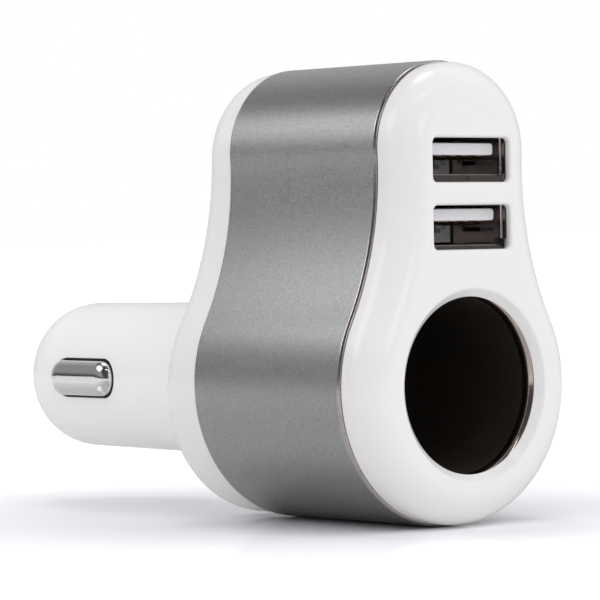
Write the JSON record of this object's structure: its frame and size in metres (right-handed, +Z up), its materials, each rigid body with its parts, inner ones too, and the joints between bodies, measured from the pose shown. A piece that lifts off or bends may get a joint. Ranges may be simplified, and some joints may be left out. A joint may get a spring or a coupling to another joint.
{
  "type": "car lighter socket splitter",
  "caption": "Plug-in splitter for a car's lighter socket: pear-shaped housing with a lighter socket and stacked USB ports in front and a sprung plug behind.",
  "frame": {"origin": "on the plug's axis where it meets the rear cover's back face", "axes": "+Y along the plug towards its tip, the front face looks along -Y, +Z up from the socket towards the USB ports, +X to the right seen from the front"},
  "size_m": [0.0358, 0.087, 0.0587],
  "materials": {
    "white_plastic": "gloss white moulding",
    "satin_metal": "satin grey with a fine grain",
    "chrome": "polished plating",
    "socket_metal": "dark plated steel",
    "tinned_steel": "dull tin plating",
    "spring_steel": "bright drawn wire",
    "brass": "plain",
    "black_plastic": "fine matt",
    "white_nylon": "plain",
    "board_green": "lacquered laminate",
    "copper": "enamelled copper",
    "can_metal": "drawn can",
    "ferrite": "sintered",
    "fuse_glass": "clear",
    "red_lead": "plain",
    "black_lead": "plain",
    "yellow_lead": "plain"
  },
  "bodies": {
    "housing": {"front_cover": "white_plastic", "metal_sleeve": "satin_metal", "rear_cover": "white_plastic", "socket_rim": "chrome", "socket_well": "black_plastic", "socket_liner": "socket_metal", "socket_centre_contact": "brass", "usb_shell_upper": "tinned_steel", "usb_shell_lower": "tinned_steel", "usb_tongue_upper": "white_nylon", "usb_tongue_lower": "white_nylon", "usb_pin_upper_1": "brass", "usb_pin_upper_2": "brass", "usb_pin_upper_3": "brass", "usb_pin_upper_4": "brass", "usb_pin_lower_1": "brass", "usb_pin_lower_2": "brass", "usb_pin_lower_3": "brass", "usb_pin_lower_4": "brass", "usb_board": "board_green", "board_screw_top": "tinned_steel", "board_screw_left": "tinned_steel", "board_screw_right": "tinned_steel", "main_board": "board_green", "board_header": "black_plastic", "inductor_core": "ferrite", "inductor_winding": "copper", "input_capacitor": "can_metal", "output_capacitor": "can_metal", "regulator_chip": "black_plastic", "diode": "black_plastic", "side_spring_left": "spring_steel", "side_spring_right": "spring_steel", "tip_spring": "spring_steel", "spring_seat": "brass", "contact_carrier": "black_plastic", "ground_sleeve": "spring_steel", "positive_lead": "red_lead", "ground_lead": "black_lead", "socket_lead": "yellow_lead"},
    "tip": {"tip_contact": "chrome", "fuse_glass": "fuse_glass", "fuse_cap_rear": "tinned_steel", "fuse_cap_front": "tinned_steel", "fuse_element": "copper"},
    "left_contact": {"side_contact_left": "chrome"},
    "right_contact": {"side_contact_right": "chrome"}
  },
  "joints": [
    {"name": "tip_press", "type": "slide", "parent": "housing", "child": "tip", "axis": [0, -1, 0], "range_m": [0, 0.003], "stiffness_N_per_m": 1500, "springref_m": -0.002, "deforming": ["tip_spring"]},
    {"name": "left_contact_press", "type": "slide", "parent": "housing", "child": "left_contact", "axis": [1, 0, 0], "range_m": [0, 0.0012], "stiffness_N_per_m": 2500, "springref_m": -0.0005, "deforming": ["side_spring_left"]},
    {"name": "right_contact_press", "type": "slide", "parent": "housing", "child": "right_contact", "axis": [-1, 0, 0], "range_m": [0, 0.0012], "stiffness_N_per_m": 2500, "springref_m": -0.0005, "deforming": ["side_spring_right"]}
  ]
}
